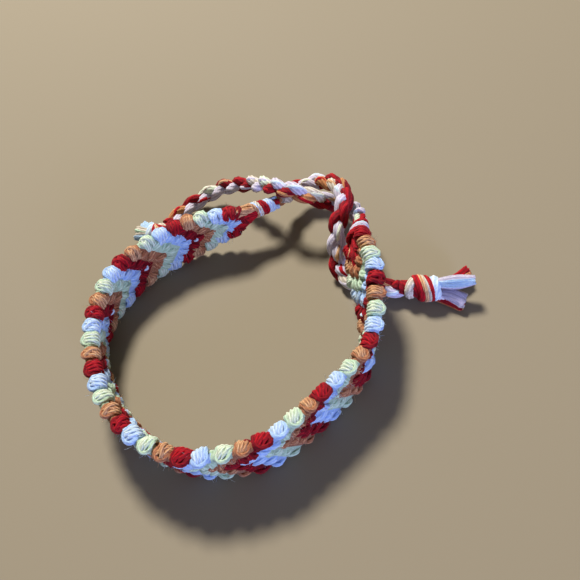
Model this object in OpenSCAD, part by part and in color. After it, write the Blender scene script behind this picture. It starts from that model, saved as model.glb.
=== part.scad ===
// Knotted chevron bracelet of cotton floss, tied closed and lying on its lower edge.
// Millimetres. Z is up, and the origin is under the middle of the bracelet on the
// surface that it lies on. The band starts at the far side, runs round by the left
// and the near side, and ends at the right.

/* [Knotted band] */
// Width of the band over its edge knots
band_width = 10.7; // [9:0.1:12]
// Thickness of the band in the valleys between two ribs
band_thickness = 2.2; // [1.8:0.1:2.6]
// Height of a colour rib above the valleys on each face
rib_height = 0.25; // [0:0.05:0.4]
// Radius of the round knots along both edges
edge_radius = 1.2; // [0.9:0.05:1.3]
// How far the band's middle bulges towards the wearer
cup_depth = 0.6; // [0:0.1:1]
// How far a chevron's tip runs ahead of its arms, in rows
chevron_depth = 1.5; // [0.5:0.25:1.5]
// Number of knotted rows
row_count = 45; // [41:1:45]

/* [Wrapped necks] */
// Diameter of a wrapped neck over its coils
wrap_diameter = 3.5; // [3:0.1:4]
// Depth of the groove between two coils
wrap_groove = 0.3; // [0:0.05:0.4]
// Coils on a neck
wrap_coils = 4; // [3:1:6]

/* [Braided tails] */
// Diameter of a braided tail
braid_diameter = 3.2; // [2.6:0.1:3.3]

/* [Stopper knots] */
// Diameter of a stopper knot
knot_diameter = 5; // [4:0.1:5]
// Depth of the groove between two turns of a stopper knot
knot_groove = 0.45; // [0:0.05:0.6]
// Turns that show on a stopper knot
knot_turns = 3; // [2:1:4]

/* [Cut fringes] */
// Diameter of a lock of cut floss at its root
lock_root = 1.9; // [1.4:0.1:2.2]
// Diameter of a lock of cut floss at its tip
lock_tip = 1.3; // [1:0.1:1.6]

/* [Hidden] */

// Columns of the band's sections: knotted row, x, y and z of the band's middle,
// lean of the top edge away from the wearer in degrees, width as a share of full
band_sections = [
    [-1.5,   6.2,  24.4, 7.3,   6, 0.36],
    [ 0.0,   2.2,  23.7, 6.9,   4, 0.62],
    [ 2.0,  -3.3,  23.8, 6.1,   5, 0.88],
    [ 4.0,  -8.6,  23.1, 5.6,   6, 1.00],
    [ 8.0, -19.4,  17.7, 5.35,  3, 1.00],
    [12.0, -25.3,   7.2, 5.35, -10, 1.00],
    [16.0, -24.6,  -4.9, 5.35,  1, 1.00],
    [20.0, -20.0, -16.3, 5.35,  6, 1.00],
    [24.0, -11.2, -24.2, 5.35,  6, 1.00],
    [28.0,   0.5, -25.3, 5.35,  0, 1.00],
    [32.0,  10.9, -20.3, 5.35, -4, 1.00],
    [36.0,  19.8, -13.2, 5.6,   3, 1.00],
    [40.0,  22.5,  -2.3, 7.2,  23, 1.00],
    [42.0,  22.7,   2.9, 8.1,  25, 0.95],
    [44.0,  22.9,   8.1, 8.9,  26, 0.65],
    [44.6,  23.1,   9.3, 8.9,  24, 0.48]
];

// Middle line of each wrapped neck: x, y, z
start_neck = [
    [7.4, 24.8, 7.5], [8.9, 24.9, 7.5], [10.4, 25.3, 7.3], [11.8, 25.9, 6.9]
];
end_neck = [
    [23.9, 10.6, 8.7], [24.7, 11.8, 8.7], [25.4, 13.1, 8.5], [25.9, 14.4, 8.1]
];

// Route of the tail from the start: under the other tail, over it, down inside
// the ring, under the band and out on the right: x, y, z
start_route = [
    [12.5, 26.5, 6.4], [14.0, 28.5, 5.5], [16.0, 30.0, 5.0], [18.0, 31.0, 4.9],
    [20.5, 30.5, 5.3], [22.5, 29.0, 6.1], [23.5, 27.0, 7.1], [24.5, 24.0, 8.2],
    [24.5, 20.5, 9.1], [24.0, 18.0, 9.5], [22.5, 15.5, 9.0], [21.5, 14.0, 8.0],
    [21.0, 13.0, 6.7], [20.5, 12.0, 5.3], [20.0, 11.0, 3.9], [20.0, 10.0, 2.7],
    [20.0, 8.5, 2.0], [20.5, 7.0, 1.7], [22.0, 5.5, 1.7], [23.5, 4.5, 1.7],
    [25.0, 3.5, 1.7], [26.5, 2.5, 1.7], [28.0, 1.5, 1.9], [29.5, 1.0, 2.3]
];

// Route of the tail from the end: under the other tail, over it, then down
// behind the band to the surface: x, y, z
end_route = [
    [26.0, 15.0, 7.8], [26.0, 17.5, 6.8], [26.0, 19.5, 5.6], [25.5, 21.5, 4.8],
    [24.0, 23.0, 4.5], [22.5, 23.5, 5.3], [21.0, 23.0, 6.8], [19.5, 22.5, 8.3],
    [18.0, 22.5, 9.6], [16.0, 23.5, 10.4], [14.0, 25.0, 10.5], [12.0, 27.5, 9.8],
    [9.5, 31.0, 8.2], [7.0, 34.0, 6.5], [4.5, 36.0, 5.3], [2.0, 37.5, 4.3],
    [-0.5, 38.0, 3.4], [-3.0, 38.0, 2.6], [-6.0, 37.0, 2.1], [-8.5, 35.5, 1.8],
    [-10.5, 33.5, 1.8], [-11.5, 32.0, 2.1]
];

// Middle line of each stopper knot: x, y, z
start_knot_line = [[30.1, 0.5, 2.5], [32.9, -0.7, 2.6], [35.8, -1.6, 2.6]];
end_knot_line = [[-11.8, 31.4, 2.4], [-13.3, 29.9, 2.6], [-15.3, 31.0, 2.6]];

// Locks of each fringe, from the knot outwards.
// Columns: tip x, y and z, and the lock's thickness as a share
start_locks = [
    [41.2,  0.8, 2.6, 0.90],
    [41.9, -1.0, 2.6, 1.10],
    [41.4, -2.9, 2.0, 1.10],
    [39.8, -4.5, 1.4, 1.10],
    [38.2, -5.9, 1.2, 0.90]
];
end_locks = [
    [-18.8, 32.7, 1.4, 1.00],
    [-18.3, 34.2, 1.8, 1.10],
    [-16.9, 35.1, 2.0, 1.10],
    [-15.5, 35.1, 1.5, 0.90]
];

// Rings and sides of each kind of piece
stations_per_row = 2;
braid_sides = 8;
wrap_sides = 10;
wrap_rings = 16;
knot_sides = 12;
knot_rings = 13;
lock_sides = 7;
lock_rings = 5;

// Half the gap left between two pieces that touch on the real bracelet
piece_gap = 0.15;
// Step, in rows or shares, over which a direction is taken
slope_step = 0.05;
// Place of the points between a face and the edge's crest
cap_share = 0.7;
// Radius of the band's threads where they are gathered into a neck
gather_radius = 1.5;
// Radius of a stopper knot at its two ends, as a share of its full radius
knot_shoulder = 0.62;
// Short round head that the locks of a fringe spring from
head_length = 2.1;
head_share = 1.35;
root_inset = 1.0;
root_drop = 0.2;
// How much fuller a lock is in its middle
lock_belly = 0.3;

// Across the band: seven columns of knots on each face, joined by round edges.
// Columns: place across the width, outward side, reach past the edge
face_columns = [for (i = [-3 : 3]) i / 3];
band_profile = concat(
    [for (v = face_columns) [v, 1, 0]],
    [[1, cap_share, cap_share], [1, 0, 1], [1, -cap_share, cap_share]],
    [for (v = face_columns) [-v, -1, 0]],
    [[-1, -cap_share, -cap_share], [-1, 0, -1], [-1, cap_share, -cap_share]]
);
half_width = band_width / 2 - edge_radius;

// Smooth values between the rows of a table whose first column is the position
function slope(table, i) =
    let (low = max(i - 1, 0), high = min(i + 1, len(table) - 1))
    (table[high] - table[low]) / (table[high][0] - table[low][0]);
function span_of(table, at, i = 0) =
    i >= len(table) - 2 || at < table[i + 1][0] ? i : span_of(table, at, i + 1);
function between(table, at) =
    let (
        i = span_of(table, at),
        step = table[i + 1][0] - table[i][0],
        q = (at - table[i][0]) / step
    )
    table[i] * (1 - 3 * q * q + 2 * q * q * q)
    + table[i + 1] * (3 * q * q - 2 * q * q * q)
    + slope(table, i) * step * (q - 2 * q * q + q * q * q)
    + slope(table, i + 1) * step * (q * q * q - q * q);

function unit(vector) = vector / norm(vector);

// A point of the band: station counts rows along the chevrons, and place is one
// row of the profile above
function band_point(station, place) =
    let (
        row = station - chevron_depth * (1 - abs(place[0])),
        here = between(band_sections, row),
        ahead = between(band_sections, row + slope_step),
        behind = between(band_sections, row - slope_step),
        run = unit([ahead[1] - behind[1], ahead[2] - behind[2]]),
        lean = here[4],
        upward = [run[1] * sin(lean), -run[0] * sin(lean), cos(lean)],
        outward = [run[1] * cos(lean), -run[0] * cos(lean), -sin(lean)],
        on_rib = station == round(station) ? 1 : 0,
        half_thickness = band_thickness / 2 + rib_height * on_rib,
        edge_reach = edge_radius - rib_height * (1 - on_rib),
        cup = cup_depth * (place[0] * place[0] - 0.5)
    )
    [here[1], here[2], here[3]]
    + upward * (place[0] * half_width * here[5] + place[2] * edge_reach)
    + outward * (place[1] * half_thickness + cup * here[5]);

// The band's profile drawn in to a round bunch of threads where a neck starts;
// run is the direction from the band's start to its end
function gathered_ring(centre, run) =
    let (
        upward = unit([0, 0, 1] - run[2] * run),
        outward = cross(run, upward)
    )
    [for (place = band_profile)
        let (turn = atan2(0.8 * place[0] + 0.2 * place[2], place[1]))
        centre + gather_radius * (cos(turn) * outward + sin(turn) * upward)];

// Faces of a tube of rings, closed by a fan at each end
function tube_faces(rings, sides) = concat(
    [for (r = [0 : rings - 2], s = [0 : sides - 1])
        [r * sides + s, r * sides + (s + 1) % sides, (r + 1) * sides + (s + 1) % sides]],
    [for (r = [0 : rings - 2], s = [0 : sides - 1])
        [r * sides + s, (r + 1) * sides + (s + 1) % sides, (r + 1) * sides + s]],
    [for (s = [0 : sides - 1]) [rings * sides, (s + 1) % sides, s]],
    [for (s = [0 : sides - 1])
        [rings * sides + 1, (rings - 1) * sides + s, (rings - 1) * sides + (s + 1) % sides]]
);
function middle(points) = [for (axis = [0 : 2]) [for (p = points) p[axis]] * [for (p = points) 1]]
    / len(points);
function with_end_points(points, rings, sides) = concat(
    points,
    [middle([for (s = [0 : sides - 1]) points[s]])],
    [middle([for (s = [0 : sides - 1]) points[(rings - 1) * sides + s]])]
);

// Direction of a route at one of its points
function heading(route, i) = unit(route[min(i + 1, len(route) - 1)] - route[max(i - 1, 0)]);
// Points of a ring square to a direction, with a radius for each angle
function ring(centre, direction, radii) =
    let (
        side = unit(cross(direction, [0, 0, 1])),
        top = cross(side, direction),
        sides = len(radii)
    )
    [for (s = [0 : sides - 1])
        centre + radii[s] * (side * cos(360 * s / sides) + top * sin(360 * s / sides))];

// A line of points as a table with its share of the length in the first column
function shares(line) = [for (i = [0 : len(line) - 1]) concat([i / (len(line) - 1)], line[i])];
function along(line, share) =
    let (p = between(shares(line), share))
    [p[1], p[2], p[3]];
function along_heading(line, share) =
    unit(along(line, share + slope_step) - along(line, share - slope_step));

module band() {
    sides = len(band_profile);
    stations = [for (i = [0 : (row_count - 1) * stations_per_row + 1]) i / stations_per_row];
    start_run = unit(start_neck[0] - start_neck[1]);
    end_run = unit(end_neck[1] - end_neck[0]);
    points = concat(
        gathered_ring(start_neck[0] + piece_gap * start_run, start_run),
        [for (station = stations, place = band_profile) band_point(station, place)],
        gathered_ring(end_neck[0] - piece_gap * end_run, end_run)
    );
    rings = len(stations) + 2;
    color("white")
        polyhedron(
            with_end_points(points, rings, sides),
            tube_faces(rings, sides),
            convexity = 10
        );
}

// A neck of threads wrapped side by side
module wrapped_neck(line) {
    points = [for (i = [0 : wrap_rings - 1])
        let (
            share = i / (wrap_rings - 1),
            depth = wrap_groove * (0.5 + 0.5 * cos(360 * wrap_coils * share)),
            radius = wrap_diameter / 2 - depth
        )
        each ring(
            along(line, share), along_heading(line, share),
            [for (s = [1 : wrap_sides]) radius]
        )
    ];
    polyhedron(
        with_end_points(points, wrap_rings, wrap_sides),
        tube_faces(wrap_rings, wrap_sides),
        convexity = 4
    );
}
module start_wrap() {
    color("lightsalmon") wrapped_neck(start_neck);
}
module end_wrap() {
    color("lightsalmon") wrapped_neck(end_neck);
}

// A braided tail swept along its route
module braid(route) {
    points = [for (i = [0 : len(route) - 1])
        each ring(
            route[i], heading(route, i),
            [for (s = [1 : braid_sides]) braid_diameter / 2]
        )
    ];
    polyhedron(
        with_end_points(points, len(route), braid_sides),
        tube_faces(len(route), braid_sides),
        convexity = 10
    );
}
module start_braid() {
    color("crimson") braid(start_route);
}
module end_braid() {
    color("ivory") braid(end_route);
}

// An overhand knot pulled tight, its turns running round at a slant
module stopper_knot(line) {
    points = [for (i = [0 : knot_rings - 1])
        let (
            share = i / (knot_rings - 1),
            fullness = knot_shoulder + (1 - knot_shoulder) * sqrt(sin(180 * share))
        )
        each ring(
            along(line, share), along_heading(line, share),
            [for (s = [0 : knot_sides - 1])
                fullness * knot_diameter / 2
                - knot_groove * (0.5 + 0.5 * cos(360 * (knot_turns * share + s / knot_sides)))]
        )
    ];
    polyhedron(
        with_end_points(points, knot_rings, knot_sides),
        tube_faces(knot_rings, knot_sides),
        convexity = 6
    );
}
module start_knot() {
    color("mistyrose") stopper_knot(start_knot_line);
}
module end_knot() {
    color("mistyrose") stopper_knot(end_knot_line);
}

// One lock of cut floss from a root to a tip, a little fuller in the middle
module lock(root, tip, share) {
    points = [for (i = [0 : lock_rings - 1])
        let (
            part = i / (lock_rings - 1),
            width = lock_root + (lock_tip - lock_root) * part + lock_belly * sin(180 * part)
        )
        each ring(
            root + (tip - root) * part, unit(tip - root),
            [for (s = [1 : lock_sides]) share * width / 2]
        )
    ];
    polyhedron(
        with_end_points(points, lock_rings, lock_sides),
        tube_faces(lock_rings, lock_sides),
        convexity = 4
    );
}
// Locks that spread from the knot's end, fused to a short round head
module fringe(knot_line, locks) {
    last = len(knot_line) - 1;
    direction = heading(knot_line, last);
    face = knot_line[last] + direction * piece_gap;
    root = knot_line[last] + direction * root_inset - [0, 0, root_drop];
    union() {
        lock(face, face + direction * head_length, head_share);
        for (row = locks)
            lock(root, [row[0], row[1], row[2]], row[3]);
    }
}
module start_fringe() {
    color("aliceblue") fringe(start_knot_line, start_locks);
}
module end_fringe() {
    color("lightyellow") fringe(end_knot_line, end_locks);
}

band();
start_wrap();
end_wrap();
start_braid();
end_braid();
start_knot();
end_knot();
start_fringe();
end_fringe();
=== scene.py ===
import math
import random

import bpy
from mathutils import Matrix, Vector


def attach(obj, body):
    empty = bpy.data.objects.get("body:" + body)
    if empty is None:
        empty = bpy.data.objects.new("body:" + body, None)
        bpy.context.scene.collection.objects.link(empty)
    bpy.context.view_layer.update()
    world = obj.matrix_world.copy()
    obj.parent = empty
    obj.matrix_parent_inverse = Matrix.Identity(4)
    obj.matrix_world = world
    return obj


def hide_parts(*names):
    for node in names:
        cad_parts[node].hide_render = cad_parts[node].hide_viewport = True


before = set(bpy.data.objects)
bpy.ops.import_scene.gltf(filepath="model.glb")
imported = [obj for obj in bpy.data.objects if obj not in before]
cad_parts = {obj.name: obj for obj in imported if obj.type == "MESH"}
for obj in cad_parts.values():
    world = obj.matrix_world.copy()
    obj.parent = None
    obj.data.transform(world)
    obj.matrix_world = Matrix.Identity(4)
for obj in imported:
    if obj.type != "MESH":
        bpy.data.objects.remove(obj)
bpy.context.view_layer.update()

bl_info = {
    "name": "Knotted chevron bracelet",
    "version": (1, 0, 0),
    "blender": (4, 5, 0),
    "location": "3D View > Sidebar > Bracelet",
    "description": "Dresses the solid bracelet in knotted, braided and cut cotton floss",
    "category": "Add Mesh",
}

# The tables below are in millimetres, in the frame of the solid model
MM = 0.001
UP = Vector((0, 0, 1))

# Columns of the band's sections: knotted row, x, y and z of the band's middle,
# lean of the top edge away from the wearer in degrees, width as a share of full,
# how far the lower half trails the top edge in rows, and how far the lower edge is
# tucked in towards the wearer
BAND_SECTIONS = (
    (-1.5, 6.2, 24.4, 7.3, 6, 0.36, 0.0, 0.0),
    (0.0, 2.2, 23.7, 6.9, 4, 0.62, 0.0, 0.0),
    (2.0, -3.3, 23.8, 6.1, 5, 0.88, 0.0, 0.0),
    (4.0, -8.6, 23.1, 5.6, 6, 1.00, 0.0, 0.0),
    (8.0, -19.4, 17.7, 5.35, 3, 1.00, 0.0, 0.0),
    (12.0, -25.3, 7.2, 5.35, -10, 1.00, 0.0, 0.0),
    (16.0, -24.6, -4.9, 5.35, 1, 1.00, 0.0, -0.5),
    (20.0, -20.0, -16.3, 5.35, 6, 1.00, 0.1, 0.5),
    (24.0, -11.2, -24.2, 5.35, 6, 1.00, 0.3, 1.0),
    (28.0, 0.5, -25.3, 5.35, 0, 1.00, 0.5, 1.0),
    (32.0, 10.9, -20.3, 5.35, -4, 1.00, 0.55, 1.3),
    (36.0, 19.8, -13.2, 5.6, 3, 1.00, 0.5, 1.0),
    (40.0, 22.7, -2.3, 7.2, 24, 1.00, 0.25, -0.4),
    (42.0, 23.1, 2.8, 8.1, 27, 0.97, 0.0, 0.0),
    (44.0, 23.6, 7.9, 8.9, 28, 0.70, 0.0, 0.0),
    (44.6, 23.8, 9.1, 8.9, 26, 0.52, 0.0, 0.0),
)

# Middle line of each wrapped neck: x, y, z
START_NECK = ((7.4, 24.8, 7.5), (8.9, 24.9, 7.5), (10.4, 25.3, 7.3), (11.8, 25.9, 6.9))
END_NECK = ((24.6, 10.4, 8.8), (25.1, 11.7, 8.7), (25.6, 13.1, 8.5), (25.9, 14.4, 8.1))

# Route of each braided tail: x, y, z
START_ROUTE = (
    (12.5, 26.5, 6.4), (14, 28.5, 5.5), (16, 30, 5), (18, 31, 4.9), (20.5, 30.5, 5.3),
    (22.5, 29, 6.1), (23.5, 27, 7.1), (24.5, 24, 8.2), (24.5, 20.5, 9.1), (24, 18, 9.5),
    (22.5, 15.5, 9), (21.5, 14, 8), (21, 13, 6.7), (20.5, 12, 5.3), (20, 11, 3.9),
    (20, 10, 2.7), (20, 8.5, 2), (20.5, 7, 1.7), (22, 5.5, 1.7), (23.5, 4.5, 1.7),
    (25, 3.5, 1.7), (26.5, 2.5, 1.7), (28, 1.5, 1.9), (29.5, 1, 2.3),
)
END_ROUTE = (
    (26, 15, 7.8), (26, 17.5, 6.8), (26, 19.5, 5.6), (25.5, 21.5, 4.8), (24, 23, 4.5),
    (22.5, 23.5, 5.3), (21, 23, 6.8), (19.5, 22.5, 8.3), (18, 22.5, 9.6), (16, 23.5, 10.4),
    (14, 25, 10.5), (12, 27.5, 9.8), (9.5, 31, 8.2), (7, 34, 6.5), (4.5, 36, 5.3),
    (2, 37.5, 4.3), (-0.5, 38, 3.4), (-3, 38, 2.6), (-6, 37, 2.1), (-8.5, 35.5, 1.8),
    (-10.5, 33.5, 1.8), (-11.5, 32, 2.1),
)

# Middle line of each stopper knot: x, y, z
START_KNOT = ((30.1, 0.5, 2.5), (32.9, -0.7, 2.6), (35.8, -1.6, 2.6))
END_KNOT = ((-11.8, 31.4, 2.4), (-13.3, 29.9, 2.6), (-15.3, 31.0, 2.6))

# Locks of each cut fringe: tip x, y and z, half width and half height of the tip, how
# far the root sits below the knot's end, and the yarns round the lock
START_LOCKS = (
    (42.1, 1.3, 2.0, 0.8, 0.5, 1.3, ("crimson", "crimson", "crimson", "orange", "crimson")),
    (42.0, 0.1, 2.0, 0.5, 0.35, 1.0, ("peach", "cream")),
    (41.6, -3.0, 4.2, 0.75, 0.65, -0.8, ("white", "lilac", "lilac", "cream", "lilac")),
    (39.3, -4.9, 1.3, 1.5, 0.7, 0.5, ("lilac", "lilac", "cream", "lilac", "cream")),
    (38.6, -5.6, 0.7, 0.8, 0.4, 0.9, ("crimson", "crimson", "orange")),
)
END_LOCKS = (
    (-18.8, 32.7, 1.4, 0.8, 0.6, 0.2, ("cream", "white", "peach")),
    (-18.3, 34.2, 1.8, 0.8, 0.6, 0.0, ("cream", "lime", "cream")),
    (-16.9, 35.1, 2.0, 0.8, 0.6, 0.0, ("white", "white", "cream")),
    (-15.5, 35.1, 1.5, 0.7, 0.5, 0.2, ("white", "crimson", "white")),
)

# Turns of each stopper knot from the braid to the fringe: place along the knot,
# fullness, thickness in strings, lean towards the fringe in millimetres, yarn
STOPPER_TURNS = (
    (0.18, 0.83, 1.4, -0.35, "cream"),
    (0.38, 0.98, 1.4, 0.95, "crimson"),
    (0.49, 1.00, 0.8, 1.0, "peach"),
    (0.56, 0.98, 0.6, 1.0, "cream"),
    (0.65, 0.97, 1.1, 0.8, "crimson"),
    (0.83, 0.93, 1.65, 0.15, "white"),
)

# Yarn of each lobe of a braid in order from its neck, on its two sides by turns, and of
# the thinner string that lies on it
START_LOBES = (
    ("cream", "lilac"), ("orange", "crimson"), ("crimson", "crimson"), ("crimson", "crimson"),
    ("lilac", "lime"), ("lilac", "white"), ("orange", "crimson"), ("crimson", "crimson"),
    ("cream", "peach"), ("crimson", "orange"), ("lilac", "white"), ("crimson", "crimson"),
    ("lilac", "lilac"), ("crimson", "crimson"), ("crimson", "crimson"), ("lilac", "lime"),
    ("lilac", "lilac"), ("lilac", "peach"), ("crimson", "crimson"), ("lilac", "crimson"),
    ("cream", "lilac"), ("crimson", "crimson"), ("lilac", "white"), ("crimson", "orange"),
    ("lilac", "white"), ("crimson", "crimson"), ("crimson", "crimson"),
)
END_LOBES = (
    ("lilac", "white"), ("lilac", "lime"), ("lilac", "white"), ("crimson", "crimson"),
    ("lilac", "white"), ("crimson", "crimson"), ("lilac", "peach"), ("crimson", "crimson"),
    ("cream", "lime"), ("orange", "crimson"), ("lilac", "white"), ("crimson", "orange"),
    ("lilac", "white"), ("crimson", "crimson"), ("lime", "lilac"), ("lilac", "lilac"),
    ("cream", "lilac"), ("crimson", "lilac"), ("crimson", "crimson"), ("lilac", "lilac"),
    ("crimson", "peach"), ("lilac", "lilac"), ("lime", "cream"), ("lilac", "crimson"),
    ("crimson", "crimson"), ("lilac", "lilac"), ("orange", "crimson"), ("lilac", "lilac"),
    ("crimson", "crimson"),
)

# Yarns: painted shade for the hollows between plies, darker tone and lighter tone of
# each dye lot, as displayed red, green and blue, and the weight of the sheen
YARNS = {
    "crimson": ((0.20, 0.0, 0.05), (0.50, 0.0, 0.09), (0.84, 0.05, 0.14), 0.02),
    "white": ((0.49, 0.63, 0.91), (0.66, 0.80, 0.95), (0.92, 0.98, 0.98), 0.15),
    "lilac": ((0.55, 0.51, 0.66), (0.72, 0.70, 0.83), (0.93, 0.92, 0.98), 0.15),
    "lime": ((0.54, 0.66, 0.52), (0.76, 0.89, 0.80), (0.99, 1.0, 0.96), 0.15),
    "peach": ((0.40, 0.18, 0.11), (0.69, 0.42, 0.28), (0.98, 0.81, 0.62), 0.1),
    "orange": ((0.38, 0.14, 0.06), (0.68, 0.38, 0.20), (0.90, 0.66, 0.44), 0.08),
    "cream": ((0.50, 0.44, 0.36), (0.77, 0.73, 0.68), (0.96, 0.94, 0.90), 0.15),
}
YARN_ORDER = tuple(YARNS)
# The band's rows repeat in this order from its start
ROW_YARNS = ("crimson", "white", "lime", "peach")
# Share of the row pitch that the knots of each yarn in ROW_YARNS take, at the start and
# on the near side
EDGE_SHARES = ((1.12, 1.1, 1.0, 0.95), (1.24, 1.1, 1.0, 0.84))
FACE_SHARES = ((1.04, 1.04, 1.02, 1.0), (1.3, 1.3, 0.76, 0.74))

# Shapes of knot that the band repeats, and how often each is drawn
KNOT_KINDS = (
    "Face knot", "Leaning face knot", "Crossed face knot",
    "Edge knot", "Crossed edge knot", "Slanting edge knot",
)
FACE_DRAW = ("Face knot", "Face knot", "Leaning face knot", "Crossed face knot")
EDGE_DRAW = (
    "Edge knot", "Edge knot", "Crossed edge knot", "Slanting edge knot", "Slanting edge knot",
)
# Knots across a row on each side of its middle one
HALF_ROW = 3
# Step for measuring a direction on the band, in rows or as a share of half its width
SMALL_STEP = 0.05

# Seeds of the random draws: the places of the knots, the unevenness of the first colour's
# knots and the places of its stray fibres
PLACE_SEED = 5
KNOT_SEED = 11
FUZZ_SEED = 31

# Places of the sockets that share a name on their node: lowest, highest and drawn value,
# both sides of a comparison of whole numbers, and two colours of a mix and its result
RANDOM_SOCKETS = {"FLOAT_VECTOR": (0, 1, 0), "FLOAT": (2, 3, 1)}
COMPARE_SOCKETS = (2, 3)
MIX_SOCKETS = (6, 7, 2)


class BandSettings(bpy.types.PropertyGroup):
    """Sizes of the knotted band."""

    width: bpy.props.FloatProperty(
        name="Width", description="Width of the band over its edge knots",
        default=10.7 * MM, unit="LENGTH",
    )
    thickness: bpy.props.FloatProperty(
        name="Thickness", description="Thickness of the band over its ribs",
        default=2.7 * MM, unit="LENGTH",
    )
    edge_radius: bpy.props.FloatProperty(
        name="Edge radius", description="Radius of the round knots along both edges",
        default=1.2 * MM, unit="LENGTH",
    )
    cup_depth: bpy.props.FloatProperty(
        name="Cup depth", description="How far the band's middle bulges towards the wearer",
        default=0.6 * MM, unit="LENGTH",
    )
    chevron_depth: bpy.props.FloatProperty(
        name="Chevron depth", description="How far a chevron's tip runs ahead of its arms, in rows",
        default=1.32,
    )
    rows: bpy.props.IntProperty(name="Rows", description="Number of knotted rows", default=45)
    row_pitch: bpy.props.FloatProperty(
        name="Row pitch", description="Distance from one knotted row to the next",
        default=2.92 * MM, unit="LENGTH",
    )
    strand: bpy.props.FloatProperty(
        name="Strand", description="Diameter of the floss in a knot",
        default=0.98 * MM, unit="LENGTH",
    )
    jitter: bpy.props.FloatProperty(
        name="Unevenness", description="How far a knot is turned from its neighbours",
        default=math.radians(9), subtype="ANGLE",
    )
    fuzz_length: bpy.props.FloatProperty(
        name="Fuzz length", description="Length of a stray fibre",
        default=2.5 * MM, unit="LENGTH",
    )
    fuzz_width: bpy.props.FloatProperty(
        name="Fuzz width", description="Diameter of a stray fibre",
        default=0.06 * MM, unit="LENGTH",
    )
    fuzz_density: bpy.props.FloatProperty(
        name="Fuzz density", description="Stray fibres on a square metre", default=2200000.0,
    )


class TailSettings(bpy.types.PropertyGroup):
    """Sizes of the braided tails, their necks, knots and fringes."""

    braid_width: bpy.props.FloatProperty(
        name="Braid width", description="Width of a braided tail",
        default=3.6 * MM, unit="LENGTH",
    )
    braid_pitch: bpy.props.FloatProperty(
        name="Braid pitch", description="Length in which a bundle crosses over and back",
        default=12.3 * MM, unit="LENGTH",
    )
    string: bpy.props.FloatProperty(
        name="String", description="Diameter of one string of floss",
        default=1.22 * MM, unit="LENGTH",
    )
    neck_width: bpy.props.FloatProperty(
        name="Neck width", description="Diameter of a wrapped neck over its coils",
        default=3.3 * MM, unit="LENGTH",
    )
    knot_width: bpy.props.FloatProperty(
        name="Knot width", description="Diameter of a stopper knot",
        default=5.0 * MM, unit="LENGTH",
    )
    fine_strand: bpy.props.FloatProperty(
        name="Fine strand", description="Diameter of one cut strand in a fringe",
        default=0.3 * MM, unit="LENGTH",
    )
    lock_strands: bpy.props.IntProperty(
        name="Strands in a lock", description="Cut strands in one lock of a fringe", default=90,
    )


class StageSettings(bpy.types.PropertyGroup):
    """Floor and light."""

    floor_colour: bpy.props.FloatVectorProperty(
        name="Floor colour", description="Colour of the floor", subtype="COLOR",
        default=(0.222, 0.192, 0.136),
    )
    key_power: bpy.props.FloatProperty(
        name="Key light", description="Power of the key light in watts", default=25.2,
    )
    fill_power: bpy.props.FloatProperty(
        name="Fill light", description="Power of the fill light in watts", default=8.0,
    )
    sky_strength: bpy.props.FloatProperty(
        name="Sky", description="Strength of the light from all round", default=0.2,
    )


def slope(table, i):
    """Change of a table's row i for one unit of its first column."""
    low, high = table[max(i - 1, 0)], table[min(i + 1, len(table) - 1)]
    return [(b - a) / (high[0] - low[0]) for a, b in zip(low, high)]


def between(table, at):
    """Smooth values between a table's rows, whose first column is the position."""
    i = 0
    while i < len(table) - 2 and at >= table[i + 1][0]:
        i += 1
    step = table[i + 1][0] - table[i][0]
    part = (at - table[i][0]) / step
    blend = part * part * (3 - 2 * part)
    leaving, arriving = step * part * (1 - part) ** 2, step * part * part * (part - 1)
    columns = zip(table[i], table[i + 1], slope(table, i), slope(table, i + 1))
    return [
        low * (1 - blend) + high * blend + slope_low * leaving + slope_high * arriving
        for low, high, slope_low, slope_high in columns
    ]


def band_point(settings, station, place, outward_reach=0.0, edge_reach=0.0):
    """A point of the band in metres, the upward and outward directions there, and its width.

    station counts rows along the chevrons, and place runs from -1 at the lower
    edge to 1 at the top edge. outward_reach moves the point away from the wearer, and
    edge_reach towards the top edge. The width is a share of the full one.
    """
    trail = between(BAND_SECTIONS, station)[6] * min(1.0, 1.0 - place)
    row = station - settings.chevron_depth * (1 - abs(place)) - trail
    here = between(BAND_SECTIONS, row)
    ahead = between(BAND_SECTIONS, row + SMALL_STEP)
    behind = between(BAND_SECTIONS, row - SMALL_STEP)
    run = Vector((ahead[1] - behind[1], ahead[2] - behind[2], 0)).normalized()
    lean = math.radians(here[4])
    upward = Vector((run.y * math.sin(lean), -run.x * math.sin(lean), math.cos(lean)))
    outward = Vector((run.y * math.cos(lean), -run.x * math.cos(lean), -math.sin(lean)))
    share = here[5]
    half_width = settings.width / 2 - settings.edge_radius
    cup = settings.cup_depth * (place * place - 0.5) * share
    cup -= here[7] * MM * ((1 - place) / 2) ** 2
    point = (
        Vector(here[1:4]) * MM
        + upward * (place * half_width * share + edge_reach)
        + outward * (outward_reach + cup)
    )
    return point, upward, outward, share


def smooth_line(points, step):
    """A curve through points in millimetres, as closely spaced points in metres."""
    points = [Vector(p) * MM for p in points]
    ends = [2 * points[0] - points[1], *points, 2 * points[-1] - points[-2]]
    line = []
    for a, b, c, d in zip(ends, ends[1:], ends[2:], ends[3:]):
        count = max(1, round((c - b).length / step))
        for i in range(count):
            part = i / count
            bend, twist = 2 * a - 5 * b + 4 * c - d, 3 * b - a - 3 * c + d
            line.append((2 * b + (c - a) * part + bend * part ** 2 + twist * part ** 3) / 2)
    line.append(points[-1])
    return line


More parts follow.
